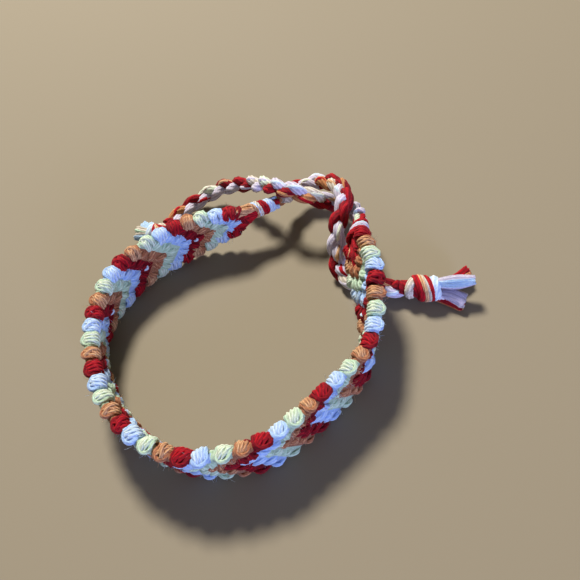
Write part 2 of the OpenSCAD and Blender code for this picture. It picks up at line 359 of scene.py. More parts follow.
def travelling_frames(line):
    """Length so far, heading, side and top at each point of a line, without twist."""
    frames = []
    side = None
    length = 0.0
    for i, point in enumerate(line):
        heading = (line[min(i + 1, len(line) - 1)] - line[max(i - 1, 0)]).normalized()
        if side is None:
            side = heading.cross(UP)
        side = (side - heading * side.dot(heading)).normalized()
        if i:
            length += (point - line[i - 1]).length
        frames.append((length, heading, side, side.cross(heading)))
    return frames


def add_object(name, data):
    """A new object in the scene."""
    made = bpy.data.objects.new(name, data)
    bpy.context.scene.collection.objects.link(made)
    return made


def keep_values(mesh, name, kind, values):
    """Keeps a value for each point of a mesh as a named attribute."""
    key = "vector" if kind == "FLOAT_VECTOR" else "value"
    mesh.attributes.new(name, kind, "POINT").data.foreach_set(key, values)


class Strands:
    """Lines of floss that are collected and then grown into one piece."""

    def __init__(self):
        self.points = []
        self.edges = []
        self.thickness = []
        self.yarn = []
        self.shade = []

    def add(self, points, thickness, yarn, shade=0.5):
        """Adds a line; thickness is a share of the piece's strand, or one for each point."""
        first = len(self.points)
        self.points.extend(points)
        self.edges.extend((first + i, first + i + 1) for i in range(len(points) - 1))
        if isinstance(thickness, (int, float)):
            thickness = [thickness] * len(points)
        self.thickness.extend(thickness)
        self.yarn.extend([YARN_ORDER.index(yarn)] * len(points))
        self.shade.extend([shade] * len(points))

    def grow(self, name, strand, step, plies, sides=12, ply_depth=0.22, twist=3.2 * MM):
        """Turns the lines into a piece of plied floss."""
        mesh = bpy.data.meshes.new(name)
        mesh.from_pydata(self.points, self.edges, [])
        keep_values(mesh, "thickness", "FLOAT", self.thickness)
        keep_values(mesh, "yarn", "INT", self.yarn)
        keep_values(mesh, "shade", "FLOAT", self.shade)
        inputs = {
            "Strand": strand, "Step": step, "Sides": sides, "Plies": plies,
            "Ply depth": ply_depth, "Twist": twist,
        }
        inputs.update({yarn: floss_material(yarn) for yarn in YARN_ORDER})
        return grown(add_object(name, mesh), strand_tree(), inputs)


def grown(piece, tree, inputs):
    """Runs a geometry tree on a piece and keeps the result as its plain mesh."""
    modifier = piece.modifiers.new("grow", "NODES")
    modifier.node_group = tree
    for item in tree.interface.items_tree:
        if item.item_type == "SOCKET" and item.in_out == "INPUT" and item.name in inputs:
            modifier[item.identifier] = inputs[item.name]
    graph = bpy.context.evaluated_depsgraph_get()
    mesh = bpy.data.meshes.new_from_object(piece.evaluated_get(graph))
    piece.modifiers.clear()
    old = piece.data
    piece.data = mesh
    bpy.data.meshes.remove(old)
    mesh.name = piece.name
    return piece


def new_tree(name, inputs):
    """An empty geometry tree with a geometry input and output and named inputs."""
    tree = bpy.data.node_groups.new(name, "GeometryNodeTree")
    tree.interface.new_socket("Geometry", in_out="INPUT", socket_type="NodeSocketGeometry")
    tree.interface.new_socket("Geometry", in_out="OUTPUT", socket_type="NodeSocketGeometry")
    for key, kind, default in inputs:
        made = tree.interface.new_socket(key, in_out="INPUT", socket_type=kind)
        if default is not None:
            made.default_value = default
    return tree


class Wiring:
    """Short calls for placing and joining the nodes of one tree."""

    def __init__(self, tree):
        self.tree = tree

    def node(self, kind, links=None, **settings):
        """Adds a node, sets it, and feeds its inputs from sockets or plain values."""
        node = self.tree.nodes.new(kind)
        for key, value in settings.items():
            setattr(node, key, value)
        for key, value in (links or {}).items():
            target = node.inputs[key]
            if isinstance(value, bpy.types.NodeSocket):
                self.tree.links.new(value, target)
            else:
                target.default_value = value
        return node

    def math(self, operation, a, b=0.0):
        """The result of one sum."""
        return self.node("ShaderNodeMath", {0: a, 1: b}, operation=operation).outputs[0]

    def attribute(self, name, kind):
        """A named attribute of the geometry."""
        made = self.node("GeometryNodeInputNamedAttribute", {"Name": name}, data_type=kind)
        return made.outputs["Attribute"]

    def holds(self, name, number):
        """Whether a whole-number attribute of the geometry is this number."""
        first, second = COMPARE_SOCKETS
        made = self.node(
            "FunctionNodeCompare", {first: self.attribute(name, "INT"), second: number},
            data_type="INT", operation="EQUAL",
        )
        return made.outputs["Result"]

    def captured(self, geometry, kind, value):
        """A curve with a value caught on its points, and the caught value."""
        made = self.node("GeometryNodeCaptureAttribute", {"Geometry": geometry}, domain="POINT")
        made.capture_items.new(kind, "Caught")
        self.tree.links.new(value, made.inputs["Caught"])
        return made.outputs["Geometry"], made.outputs["Caught"]

    def stored(self, geometry, name, kind, value, domain="POINT"):
        """The geometry with a value kept as a named attribute."""
        made = self.node(
            "GeometryNodeStoreNamedAttribute",
            {"Geometry": geometry, "Name": name, "Value": value}, data_type=kind, domain=domain,
        )
        return made.outputs["Geometry"]

    def drawn(self, kind, seed, low, high):
        """A random value for each element, between two sockets or plain values."""
        lowest, highest, result = RANDOM_SOCKETS[kind]
        made = self.node(
            "FunctionNodeRandomValue", {"Seed": seed, lowest: low, highest: high}, data_type=kind,
        )
        return made.outputs[result]

    def finish(self, geometry, floss):
        """Ends the tree: its instances are made real and set in one floss."""
        real = self.node("GeometryNodeRealizeInstances", {"Geometry": geometry})
        done = self.node(
            "GeometryNodeSetMaterial", {"Geometry": real.outputs["Geometry"], "Material": floss},
        )
        self.node("NodeGroupOutput", {"Geometry": done.outputs["Geometry"]})


def sized_lines(wire, given):
    """The piece's lines as curves with their thickness and twist, and the length so far."""
    lines = wire.node("GeometryNodeMeshToCurve", {"Mesh": given["Geometry"]}).outputs["Curve"]
    smooth = wire.node(
        "GeometryNodeCurveSplineType", {"Curve": lines}, spline_type="CATMULL_ROM",
    ).outputs["Curve"]
    spaced = wire.node(
        "GeometryNodeResampleCurve", {"Curve": smooth, "Length": given["Step"]}, mode="LENGTH",
    ).outputs["Curve"]
    length = wire.node("GeometryNodeSplineParameter").outputs["Length"]
    measured, length_so_far = wire.captured(spaced, "FLOAT", length)
    turn = wire.math("MULTIPLY", wire.math("DIVIDE", length, given["Twist"]), math.tau)
    tilted = wire.node(
        "GeometryNodeSetCurveTilt", {"Curve": measured, "Tilt": turn},
    ).outputs["Curve"]
    radius = wire.math(
        "MULTIPLY", wire.attribute("thickness", "FLOAT"),
        wire.math("MULTIPLY", given["Strand"], 0.5),
    )
    sized = wire.node("GeometryNodeSetCurveRadius", {"Curve": tilted, "Radius": radius})
    return sized.outputs["Curve"], length_so_far


def lobed_section(wire, given):
    """A section with a lobe for each ply, the place round it, and the height of its lobes, which sets
    how much painted shade the hollows between them take.
    """
    ring = wire.node(
        "GeometryNodeCurvePrimitiveCircle", {"Resolution": given["Sides"], "Radius": 1.0},
        mode="RADIUS",
    ).outputs["Curve"]
    place = wire.node("GeometryNodeInputPosition").outputs["Position"]
    ring, around = wire.captured(ring, "VECTOR", place)
    share = wire.node("GeometryNodeSplineParameter").outputs["Factor"]
    turns = wire.math("MULTIPLY", share, given["Plies"])
    lobe = wire.math("COSINE", wire.math("MULTIPLY", turns, math.tau))
    hollow = wire.math("MULTIPLY", wire.math("SUBTRACT", 1.0, lobe), 0.5)
    # Painted shade: crest is low in the hollows between plies, where the material mixes in the groove
    # tone; a strand with a ply depth under 1/8 shows less of it
    plied = wire.math("MINIMUM", wire.math("MULTIPLY", given["Ply depth"], 8.0), 1.0)
    height = wire.math("SUBTRACT", 1.0, wire.math("MULTIPLY", hollow, plied))
    ring, crest = wire.captured(ring, "FLOAT", height)
    reach = wire.math("SUBTRACT", 1.0, wire.math("MULTIPLY", hollow, given["Ply depth"]))
    lobed_place = wire.node(
        "ShaderNodeVectorMath", {0: place, "Scale": reach}, operation="SCALE",
    ).outputs[0]
    section = wire.node("GeometryNodeSetPosition", {"Geometry": ring, "Position": lobed_place})
    return section.outputs["Geometry"], around, crest


def strand_tree():
    """Grows plied floss along lines: a lobed section that twists as it goes."""
    name = "Plied floss"
    if name in bpy.data.node_groups:
        return bpy.data.node_groups[name]
    tree = new_tree(name, (
        ("Strand", "NodeSocketFloat", MM),
        ("Step", "NodeSocketFloat", 0.3 * MM),
        ("Sides", "NodeSocketInt", 12),
        ("Plies", "NodeSocketInt", 3),
        ("Ply depth", "NodeSocketFloat", 0.2),
        ("Twist", "NodeSocketFloat", 3 * MM),
        *((yarn, "NodeSocketMaterial", None) for yarn in YARN_ORDER),
    ))
    wire = Wiring(tree)
    given = wire.node("NodeGroupInput").outputs
    lines, length = sized_lines(wire, given)
    section, around, crest = lobed_section(wire, given)
    thickness = wire.node("GeometryNodeInputRadius").outputs["Radius"]
    swept = wire.node(
        "GeometryNodeCurveToMesh",
        {"Curve": lines, "Profile Curve": section, "Scale": thickness, "Fill Caps": True},
    ).outputs["Mesh"]
    turned = wire.node("ShaderNodeSeparateXYZ", {0: around}).outputs
    fibre = wire.node(
        "ShaderNodeCombineXYZ",
        {"X": wire.math("DIVIDE", length, MM), "Y": turned["X"], "Z": turned["Y"]},
    ).outputs[0]
    marked = wire.stored(swept, "fibre", "FLOAT_VECTOR", fibre)
    # crest carries the painted shade of the ply hollows to the material
    marked = wire.stored(marked, "crest", "FLOAT", crest)
    shaped = wire.node("GeometryNodeSetShadeSmooth", {"Geometry": marked}).outputs["Geometry"]
    shaped = wire.node("GeometryNodeRealizeInstances", {"Geometry": shaped}).outputs["Geometry"]
    for i, yarn in enumerate(YARN_ORDER):
        chosen = wire.holds("yarn", i)
        shaped = wire.node(
            "GeometryNodeSetMaterial",
            {"Geometry": shaped, "Selection": chosen, "Material": given[yarn]},
        ).outputs["Geometry"]
    wire.node("NodeGroupOutput", {"Geometry": shaped})
    return tree


def knots_tree():
    """Sets a knot on every point, of the kind and turn that the point says, a little uneven."""
    name = "Knots on points"
    if name in bpy.data.node_groups:
        return bpy.data.node_groups[name]
    tree = new_tree(name, (
        *((kind, "NodeSocketObject", None) for kind in KNOT_KINDS),
        ("Unevenness", "NodeSocketFloat", 0.1),
        ("Seed", "NodeSocketInt", 1),
        ("Floss", "NodeSocketMaterial", None),
    ))
    wire = Wiring(tree)
    given = wire.node("NodeGroupInput").outputs
    turn = wire.node(
        "FunctionNodeEulerToRotation", {"Euler": wire.attribute("turn", "FLOAT_VECTOR")},
    ).outputs[0]
    joined = wire.node("GeometryNodeJoinGeometry")
    for i, kind in enumerate(KNOT_KINDS):
        shape = wire.node("GeometryNodeObjectInfo", {"Object": given[kind]}).outputs["Geometry"]
        chosen = wire.holds("kind", i)
        placed = wire.node(
            "GeometryNodeInstanceOnPoints",
            {
                "Points": given["Geometry"], "Selection": chosen, "Instance": shape,
                "Rotation": turn, "Scale": wire.attribute("size", "FLOAT_VECTOR"),
            },
        ).outputs["Instances"]
        tree.links.new(placed, joined.inputs["Geometry"])
    low = wire.math("MULTIPLY", given["Unevenness"], -1.0)
    wobble = wire.drawn("FLOAT_VECTOR", given["Seed"], low, given["Unevenness"])
    uneven = wire.node(
        "GeometryNodeRotateInstances",
        {"Instances": joined.outputs["Geometry"], "Rotation": wobble},
    ).outputs["Instances"]
    tone = wire.drawn("FLOAT", given["Seed"], 0.0, 1.0)
    wire.finish(wire.stored(uneven, "shade", "FLOAT", tone, "INSTANCE"), given["Floss"])
    return tree


def fuzz_tree():
    """Scatters thin stray fibres over a surface."""
    name = "Stray fibres"
    if name in bpy.data.node_groups:
        return bpy.data.node_groups[name]
    tree = new_tree(name, (
        ("Fibre", "NodeSocketObject", None),
        ("Density", "NodeSocketFloat", 1000.0),
        ("Seed", "NodeSocketInt", 1),
        ("Floss", "NodeSocketMaterial", None),
    ))
    wire = Wiring(tree)
    given = wire.node("NodeGroupInput").outputs
    scattered = wire.node(
        "GeometryNodeDistributePointsOnFaces",
        {"Mesh": given["Geometry"], "Density": given["Density"], "Seed": given["Seed"]},
        distribute_method="RANDOM",
    )
    shape = wire.node("GeometryNodeObjectInfo", {"Object": given["Fibre"]}).outputs["Geometry"]
    size = wire.drawn("FLOAT", given["Seed"], 0.4, 1.0)
    placed = wire.node(
        "GeometryNodeInstanceOnPoints",
        {
            "Points": scattered.outputs["Points"], "Instance": shape,
            "Rotation": scattered.outputs["Rotation"], "Scale": size,
        },
    ).outputs["Instances"]
    tip, spin = 0.7, math.pi
    turn = wire.drawn("FLOAT_VECTOR", given["Seed"], (-tip, -tip, -spin), (tip, tip, spin))
    turned = wire.node(
        "GeometryNodeRotateInstances", {"Instances": placed, "Rotation": turn},
    ).outputs["Instances"]
    wire.finish(turned, given["Floss"])
    return tree


def display_to_linear(colour):
    """A displayed colour as the shader's own linear values."""
    return tuple(((c + 0.055) / 1.055) ** 2.4 if c > 0.04 else c / 12.92 for c in colour)


def fibre_group():
    """Shader group: the lie of the fibres in floss, as a height and a tone."""
    name = "Floss fibres"
    if name in bpy.data.node_groups:
        return bpy.data.node_groups[name]
    group = bpy.data.node_groups.new(name, "ShaderNodeTree")
    for key, default in (("Length scale", 1.0), ("Fineness", 4.0), ("Slant", 2.0)):
        made = group.interface.new_socket(key, in_out="INPUT", socket_type="NodeSocketFloat")
        made.default_value = default
    for key in ("Height", "Tone"):
        group.interface.new_socket(key, in_out="OUTPUT", socket_type="NodeSocketFloat")
    wire = Wiring(group)
    given = wire.node("NodeGroupInput").outputs
    fibre = wire.node("ShaderNodeAttribute", attribute_name="fibre").outputs["Vector"]
    parts = wire.node("ShaderNodeSeparateXYZ", {0: fibre}).outputs
    turn = wire.math("MULTIPLY", parts["X"], given["Slant"])
    cosine, sine = wire.math("COSINE", turn), wire.math("SINE", turn)
    across = wire.math(
        "ADD", wire.math("MULTIPLY", parts["Y"], cosine), wire.math("MULTIPLY", parts["Z"], sine),
    )
    through = wire.math(
        "SUBTRACT", wire.math("MULTIPLY", parts["Z"], cosine), wire.math("MULTIPLY", parts["Y"], sine),
    )
    place = wire.node(
        "ShaderNodeCombineXYZ",
        {
            "X": wire.math("MULTIPLY", parts["X"], given["Length scale"]),
            "Y": wire.math("MULTIPLY", across, given["Fineness"]),
            "Z": wire.math("MULTIPLY", through, given["Fineness"]),
        },
    ).outputs[0]
    fine = wire.node(
        "ShaderNodeTexNoise", {"Vector": place, "Scale": 1.6, "Detail": 3.0, "Roughness": 0.6},
    ).outputs["Fac"]
    broad = wire.node(
        "ShaderNodeTexNoise", {"Vector": place, "Scale": 0.45, "Detail": 1.0},
    ).outputs["Fac"]
    tone = wire.math("ADD", wire.math("MULTIPLY", fine, 0.6), wire.math("MULTIPLY", broad, 0.4))
    wire.node("NodeGroupOutput", {"Height": fine, "Tone": tone})
    return group


# Shade at which a strand has its yarn's plain tone, and how much a step away changes it
PLAIN_SHADE = 0.4
SHADE_EFFECT = 0.25
# Places of the darker and the lighter tone on the ramp of tones
TONE_PLACES = (0.36, 0.60)


def floss_material(yarn):
    """Cotton floss of one dye: two tones along the fibres, painted shade in the hollows between plies,
    a soft sheen and a fine bump.
    """
    name = yarn + "_floss"
    if name in bpy.data.materials:
        return bpy.data.materials[name]
    material = bpy.data.materials.new(name)
    material.use_nodes = True
    tree = material.node_tree
    tree.nodes.clear()
    wire = Wiring(tree)
    fibres = wire.node("ShaderNodeGroup", node_tree=fibre_group())
    shade = wire.node("ShaderNodeAttribute", attribute_name="shade").outputs["Fac"]
    tone = wire.math(
        "ADD", fibres.outputs["Tone"],
        wire.math("MULTIPLY", wire.math("SUBTRACT", shade, PLAIN_SHADE), SHADE_EFFECT),
    )
    ramp = wire.node("ShaderNodeValToRGB", {"Fac": tone})
    *tones, sheen = YARNS[yarn]
    painted_groove_shade, dark, light = (display_to_linear(colour) for colour in tones)
    for stop, position, colour in zip(ramp.color_ramp.elements, TONE_PLACES, (dark, light)):
        stop.position = position
        stop.color = (*colour, 1)
    # Painted shade: where crest is low, in the hollows between plies and on the band's core, the
    # colour mixes towards the yarn's groove tone
    crest = wire.node("ShaderNodeAttribute", attribute_name="crest").outputs["Fac"]
    low_colour, high_colour, mixed_colour = MIX_SOCKETS
    coloured = wire.node(
        "ShaderNodeMix",
        {
            "Factor": wire.math("POWER", crest, 0.6),
            low_colour: (*painted_groove_shade, 1), high_colour: ramp.outputs["Color"],
        },
        data_type="RGBA",
    ).outputs[mixed_colour]
    bump = wire.node(
        "ShaderNodeBump", {"Height": fibres.outputs["Height"], "Strength": 0.8, "Distance": 0.16 * MM},
    )
    surface = wire.node(
        "ShaderNodeBsdfPrincipled",
        {
            "Base Color": coloured, "Normal": bump.outputs["Normal"],
            "Roughness": 0.75, "Sheen Weight": sheen, "Sheen Roughness": 0.5,
            "Specular IOR Level": 0.2,
        },
    )
    wire.node("ShaderNodeOutputMaterial", {"Surface": surface.outputs[0]})
    return material


def dress(piece, slot, *nodes):
    """Rides a finished piece on the bracelet, in place of its solids, clear of the floor."""
    for vertex in piece.data.vertices:
        vertex.co.z = max(vertex.co.z, 0.0)
    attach(piece, "root")
    if nodes:
        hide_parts(*nodes)


def face_knot_path(half_length, half_height, lean, cross):
    """Two turns of floss laid close; Z is the knot's axis, and X runs along the band.

    lean slants the turns, and cross lets the second run over the first. The turns swell
    in their middle, and both ends are tucked in.
    """
    path = []
    steps, turns, first_angle = 32, 2.1, -0.6
    end_size, swell, tucked_share = 0.86, 0.22, 1 / 8
    apart, crossing_rise, crossing_swell = 0.46 * MM, 0.55 * MM * cross, 0.09 * cross
    for i in range(steps + 1):
        share = i / steps
        angle = math.tau * turns * share + first_angle
        tuck = max(0.0, 1 - min(share, 1 - share) / tucked_share)
        size = (end_size + swell * math.sin(math.pi * share)) * (1 - 0.5 * tuck)
        size *= 1 + crossing_swell * math.sin(angle / 2)
        rise = apart * (2 * share - 1) * (1 - cross)
        rise += lean * MM * math.sin(angle) + crossing_rise * math.cos(angle / 2)
        path.append(Vector((
            half_length * size * math.cos(angle), half_height * size * math.sin(angle), rise,
        )))
    return path


def edge_rim(half_width, reach, rise):
    """The outer strand of an edge knot: a loop that is open to the wearer's side.

    Sizes are in millimetres, and each foot of the loop comes up from inside the band.
    """
    foot = [(-0.65, -0.75, -1.5), (-0.85, -1.2, -0.95), (-1.02, -1.0, rise - 0.4)]
    path = [(half_width * x, y, z) for x, y, z in foot]
    steps = 8
    for i in range(steps + 1):
        angle = math.pi * (1.06 - 1.12 * i / steps)
        outside = max(0.0, math.sin(angle))
        path.append((half_width * math.cos(angle), reach * math.sin(angle), rise - 0.1 * outside))
    path += [(-half_width * x, y, z) for x, y, z in reversed(foot)]
    return [Vector(point) * MM for point in path]


def edge_leg(start, end, crest):
    """A strand that comes up from the wearer's side and dives under the rim.

    start and end are its places along the band and crest its height, in millimetres.
    """
    middle = (start + end) / 2
    path = (
        (start, -0.8, -1.6), (start, -1.25, -1.0), (start, -1.36, -0.35),
        (start * 0.8 + end * 0.2, -0.9, crest - 0.1),
        (middle, -0.32, crest + 0.05), (end, 0.28, crest - 0.1), (end, 0.66, crest - 0.5),
    )
    return [Vector(point) * MM for point in path]


def knot_shape(name, paths, strand):
    """One knot of floss as a shape for the geometry tree to repeat.

    paths has a row for each strand: its line, and its thickness as a share.
    """
    strands = Strands()
    for i, (path, thickness) in enumerate(paths):
        strands.add(path, thickness, "white", shade=0.15 * i)
    shape = strands.grow(
        name, strand, step=0.36 * MM, sides=12, plies=4, ply_depth=0.28, twist=6 * MM,
    )
    shape.data.materials.clear()
    return shape


def knot_shapes(settings):
    """Every kind of knot in KNOT_KINDS, lying in its own axes.

    An edge knot is a rim, a fat heart that fills it, and three legs that cross it.
    """
    strand = settings.strand
    height = (settings.thickness - strand) / 2
    length = settings.row_pitch * 0.49 - strand / 2
    rim = (edge_rim(half_width=1.03, reach=0.95, rise=0.3), 0.84)
    heart = ([Vector((x, -0.2, -0.4)) * MM for x in (-0.75, 0.0, 0.75)], 1.5)
    paths = {
        "Face knot": [(face_knot_path(length, height, lean=0.05, cross=0.0), 1.0)],
        "Leaning face knot": [(face_knot_path(length, height, lean=0.16, cross=0.0), 1.0)],
        "Crossed face knot": [(face_knot_path(length, height, lean=-0.06, cross=0.9), 1.0)],
        "Edge knot": [
            rim, heart, (edge_leg(-0.62, -0.5, 0.5), 0.78), (edge_leg(0.0, 0.0, 0.56), 0.78),
            (edge_leg(0.62, 0.5, 0.5), 0.78),
        ],
        "Crossed edge knot": [
            rim, heart, (edge_leg(-0.4, 0.55, 0.42), 0.95), (edge_leg(0.6, -0.4, 0.68), 0.9),
            (edge_leg(-0.78, -0.6, 0.42), 0.7),
        ],
        "Slanting edge knot": [
            rim, heart, (edge_leg(-0.85, -0.2, 0.5), 0.82), (edge_leg(-0.2, 0.3, 0.58), 0.82),
            (edge_leg(0.5, 0.7, 0.45), 0.72),
        ],
    }
    return {kind: knot_shape(kind, lines, strand) for kind, lines in paths.items()}


class BRACELET_OT_stage(bpy.types.Operator):
    """Makes the camera, the floor and the soft studio light."""

    bl_idname = "bracelet.stage"
    bl_label = "Stage"

    def execute(self, context):
        settings = context.scene.bracelet_stage
        add_camera()
        add_floor(settings)
        add_lights(settings)
        return {"FINISHED"}


# Camera: its place, its tilt from straight down and its roll in degrees, the width of
# its sensor in millimetres, and the side of the frame and the focal length in pixels
CAMERA_PLACE = (10.0, -69.4, 93.2)
CAMERA_TILT = 40.0
CAMERA_ROLL = -14.5
SENSOR = 36.0
FRAME_SIDE = 580
FOCAL_PIXELS = 640


def add_camera():
    """A camera that looks down on the bracelet from the near side."""
    data = bpy.data.cameras.new("camera")
    data.sensor_width = SENSOR
    data.lens = SENSOR * FOCAL_PIXELS / FRAME_SIDE
    data.clip_start = MM
    camera = add_object("camera", data)
    tilt = Matrix.Rotation(math.radians(CAMERA_TILT), 4, "X")
    roll = Matrix.Rotation(math.radians(CAMERA_ROLL), 4, "Z")
    camera.matrix_world = Matrix.Translation(Vector(CAMERA_PLACE) * MM) @ tilt @ roll
    bpy.context.scene.camera = camera


def add_floor(settings):
    """A plain pale floor, a hair under the bracelet."""
    reach = 1.5
    mesh = bpy.data.meshes.new("floor")
    corners = [(-reach, -reach, 0), (reach, -reach, 0), (reach, reach, 0), (-reach, reach, 0)]
    mesh.from_pydata(corners, [], [(0, 1, 2, 3)])
    floor = add_object("floor", mesh)
    floor.location.z = -0.02 * MM
    material = bpy.data.materials.new("pale_floor")
    material.use_nodes = True
    surface = material.node_tree.nodes["Principled BSDF"]
    surface.inputs["Base Color"].default_value = (*settings.floor_colour, 1)
    surface.inputs["Roughness"].default_value = 0.8
    mesh.materials.append(material)


def add_lamp(name, direction, distance, size, power, colour):
    """A round lamp that faces the bracelet from a direction."""
    data = bpy.data.lights.new(name, "AREA")
    data.shape = "DISK"
    data.size = size
    data.energy = power
    data.color = colour
    lamp = add_object(name, data)
    back = Vector(direction).normalized()
    turn = back.to_track_quat("Z", "Y").to_matrix().to_4x4()
    lamp.matrix_world = Matrix.Translation(back * distance) @ turn


def add_lights(settings):
    """A warm key light from the far side, a low blue fill from the near side and a dim sky."""
    add_lamp(
        "key_light", direction=(-0.09, 0.79, 1.0), distance=1.2, size=0.28,
        power=settings.key_power, colour=(1.0, 0.93, 0.82),
    )
    add_lamp(
        "fill_light", direction=(0.3, -1.0, 0.2), distance=0.9, size=0.3,
        power=settings.fill_power, colour=(0.49, 0.56, 1.0),
    )
    world = bpy.data.worlds.new("soft_sky")
    world.use_nodes = True
    background = world.node_tree.nodes["Background"]
    background.inputs["Color"].default_value = (0.92, 0.84, 0.74, 1)
    background.inputs["Strength"].default_value = settings.sky_strength
    bpy.context.scene.world = world
    bpy.context.scene.view_settings.view_transform = "Standard"


class BRACELET_OT_tails(bpy.types.Operator):
    """Braids both tails along their routes."""

    bl_idname = "bracelet.tails"
    bl_label = "Braided tails"

    def execute(self, context):
        settings = context.scene.bracelet_tails
        braid_tail(
            "start_tail", "start_braid", START_ROUTE, settings, phase=0.13, tilt=15,
            lobes=START_LOBES,
        )
        braid_tail(
            "end_tail", "end_braid", END_ROUTE, settings, phase=0.167, tilt=58, lobes=END_LOBES,
        )
        return {"FINISHED"}


# Lobes of a braid: how many its three bundles make in one wave, how far each reaches
# either way along the wave as an angle, and how fast it thins there
LOBES_IN_WAVE = 6
LOBE_REACH = 1.85
LOBE_TAPER = 0.85


def braid_tail(name, node, route, settings, phase, tilt, lobes):
    """Three fat bundles that cross over one another along the route, lobe by lobe.

    phase is where the first wave starts, as a share of it, and tilt turns the braid's
    flat side round the route, in degrees. lobes has a row for each: the yarn of the
    bundle there, and of the string on it.
    """
    line = smooth_line(route, 0.4 * MM)
    frames = travelling_frames(line)
    tilt = math.radians(tilt)
    bundle_radius = settings.braid_width * 0.27
    sway = settings.braid_width / 2 - bundle_radius
    heave = sway * 0.75
    pitch = settings.braid_pitch
    fat, thin, thin_place = 2 * bundle_radius / settings.string, 0.7, 1.1
    strands = Strands()
    for number, (yarn, thin_yarn) in enumerate(lobes):
        middle = pitch / LOBES_IN_WAVE * (number + 0.75 - LOBES_IN_WAVE * phase)
        flank = 1 if number % 2 == 0 else -1
        fat_line, fat_sizes, thin_line = [], [], []
        for point, (length, _, side, top) in zip(line, frames):
            turn = math.tau * (length - middle) / pitch
            if abs(turn) > LOBE_REACH:
                continue
            side, top = (
                side * math.cos(tilt) + top * math.sin(tilt),
                top * math.cos(tilt) - side * math.sin(tilt),
            )
            sideways = side * (flank * sway * math.sin(turn + math.pi / 4))
            centre = point + sideways + top * (heave * math.cos(2 * turn))
            swell = math.cos(LOBE_TAPER * turn)
            fat_line.append(centre)
            fat_sizes.append(fat * (0.62 + 0.44 * swell))
            thin_turn = turn + thin_place
            across = side * (flank * math.cos(thin_turn)) + top * math.sin(thin_turn)
            thin_line.append(centre + across * bundle_radius * (0.2 + 0.55 * swell))
        # A lobe that falls past the end of the route is left off
        if len(fat_line) < 4:
            continue
        # Painted shade: crimson bundles are given a darker tone, standing in for the shade on the
        # braid's red lobes
        shade = 0.0 if yarn == "crimson" else 0.5
        strands.add(fat_line, fat_sizes, yarn, shade)
        strands.add(thin_line, thin, thin_yarn, shade + 0.7)
    piece = strands.grow(
        name, settings.string, step=0.36 * MM, sides=24, plies=8, ply_depth=0.14, twist=22 * MM,
    )
    dress(piece, "braided_floss", node)


class BRACELET_OT_necks(bpy.types.Operator):
    """Wraps both necks, where the band's threads are gathered."""

    bl_idname = "bracelet.necks"
    bl_label = "Wrapped necks"

    def execute(self, context):
        settings = context.scene.bracelet_tails
        band = context.scene.bracelet_band
        wrap_neck(
            "start_neck", "start_wrap", START_NECK, settings,
            band_end=(6.6, 24.5, 7.5), wrapped=0.74, fullness=1.08,
            yarns=("peach", "white", "cream", "crimson", "crimson", "white", "white"),
            tail_yarn="white",
        )
        wrap_neck(
            "end_neck", "end_wrap", END_NECK, settings,
            band_end=(24.1, 9.0, 8.9), wrapped=0.7, fullness=1.32,
            yarns=(
                "crimson", "crimson", "crimson", "lilac", "lilac", "white", "crimson", "crimson",
            ),
            tail_yarn="lime",
        )
        gather_threads("start_threads", 0, START_NECK, settings, band, (
            (0.9, -1, "peach"), (0.6, -1, "peach"), (0.25, -1, "crimson"), (-0.1, -1, "crimson"),
            (-0.5, -1, "crimson"), (-0.9, -1, "crimson"), (0.7, 1, "peach"), (0.2, 1, "crimson"),
            (-0.3, 1, "white"), (-0.8, 1, "crimson"),
        ))
        gather_threads("end_threads", band.rows - 1, END_NECK, settings, band, (
            (0.9, -1, "crimson"), (0.55, -1, "crimson"), (0.2, -1, "crimson"),
            (-0.15, -1, "crimson"), (-0.5, -1, "peach"), (-0.85, -1, "white"),
            (0.8, 1, "crimson"), (0.3, 1, "crimson"), (-0.2, 1, "white"), (-0.7, 1, "crimson"),
        ))
        return {"FINISHED"}


def ring_path(centre, heading, side, top, radius, slant):
    """A turn round a heading that runs a little past its start, leaning by slant along it."""
    path = []
    steps, overlap = 22, 2
    for i in range(steps + overlap + 1):
        angle = math.tau * i / steps
        around = side * math.cos(angle) + top * math.sin(angle)
        path.append(centre + around * radius + heading * (slant * math.cos(angle)))
    return path


def wrap_neck(name, node, neck, settings, band_end, wrapped, fullness, yarns, tail_yarn):
    """Turns of floss round the gathered threads, and the threads that run out of them.

    band_end is the point where the turns begin, wrapped is the share of the neck that
    they cover, and fullness is the first turn's share of the neck's width.
    """
    line = smooth_line((band_end, *neck), 0.15 * MM)
    frames = travelling_frames(line)
    strands = Strands()
    half = settings.neck_width / 2
    threads = ("crimson", tail_yarn, "crimson", tail_yarn, "white")
    first_turn, first_out, spread = 0.9, half * 0.36, half * 0.16
    for s, yarn in enumerate(threads):
        turn = math.tau * s / len(threads) + first_turn
        points = []
        for i, (point, (_, _, side, top)) in enumerate(zip(line, frames)):
            out = first_out + spread * i / len(line)
            points.append(point + (side * math.cos(turn) + top * math.sin(turn)) * out)
        strands.add(points, 1.0, yarn, shade=0.5)
    last = (len(line) - 1) * wrapped
    last_fullness, sunk, slant, thickness = 0.92, 0.04, 0.55 * MM * fullness, 0.72
    for i, yarn in enumerate(yarns):
        at = round((i + 0.5) / len(yarns) * last)
        _, heading, side, top = frames[at]
        taper = fullness - (fullness - last_fullness) * i / (len(yarns) - 1) - sunk * (i % 2)
        radius = half * taper - settings.string * thickness / 2
        path = ring_path(line[at], heading, side, top, radius, slant)
        strands.add(path, thickness, yarn, shade=0.4 + 0.1 * (i % 3))
    piece = strands.grow(name, settings.string, step=0.3 * MM, plies=4, ply_depth=0.15)
    dress(piece, "knotted_floss", node)


